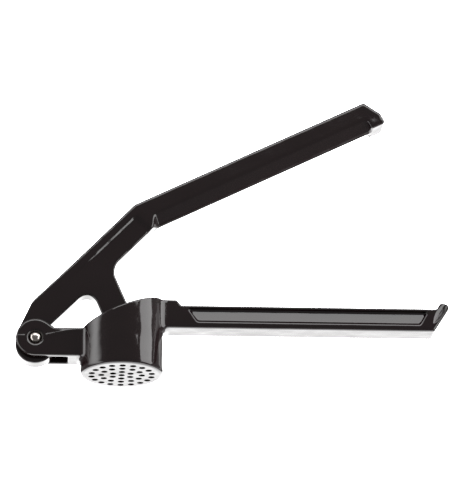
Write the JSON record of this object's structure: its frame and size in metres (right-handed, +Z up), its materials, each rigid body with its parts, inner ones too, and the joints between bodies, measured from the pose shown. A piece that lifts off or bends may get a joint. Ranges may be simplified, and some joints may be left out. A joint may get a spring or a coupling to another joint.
{
  "type": "garlic press",
  "caption": "Hand garlic press with a pierced round hopper, a lower handle with recessed sides, a hinged lever with a keeled handle and a swivelling plunger, lying half open.",
  "frame": {"origin": "middle of the bounding box at the surface that the press lies on", "axes": "+X along the lower handle from the hinge to the lip, +Y along the hopper's axis from the sieve to the mouth, +Z up along the hinge pin, square to the press's mid-plane"},
  "size_m": [0.175, 0.1188, 0.0335],
  "materials": {
    "black_coating": "glossy black coating on die-cast metal",
    "polished_steel": "polished stainless steel",
    "brushed_steel": "satin stainless steel"
  },
  "bodies": {
    "body": {"press_body": "black_coating", "hinge_pin": "polished_steel"},
    "lever": {"press_lever": "black_coating"},
    "plunger": {"plunger_foot": "brushed_steel", "plunger_pin": "polished_steel"}
  },
  "joints": [
    {"name": "lever_hinge", "type": "hinge", "parent": "body", "child": "lever", "pos_m": [-0.0795, -0.04567, 0.01675], "axis": [0, 0, 1], "range_deg": [-26, 75]},
    {"name": "plunger_swivel", "type": "hinge", "parent": "lever", "child": "plunger", "pos_m": [-0.04601, -0.03641, 0.01675], "axis": [0, 0, 1], "range_deg": [-26.5, 9.5]}
  ],
  "couplings": [
    {"joint": "plunger_swivel", "follows": "lever_hinge", "ratio": -0.35}
  ]
}
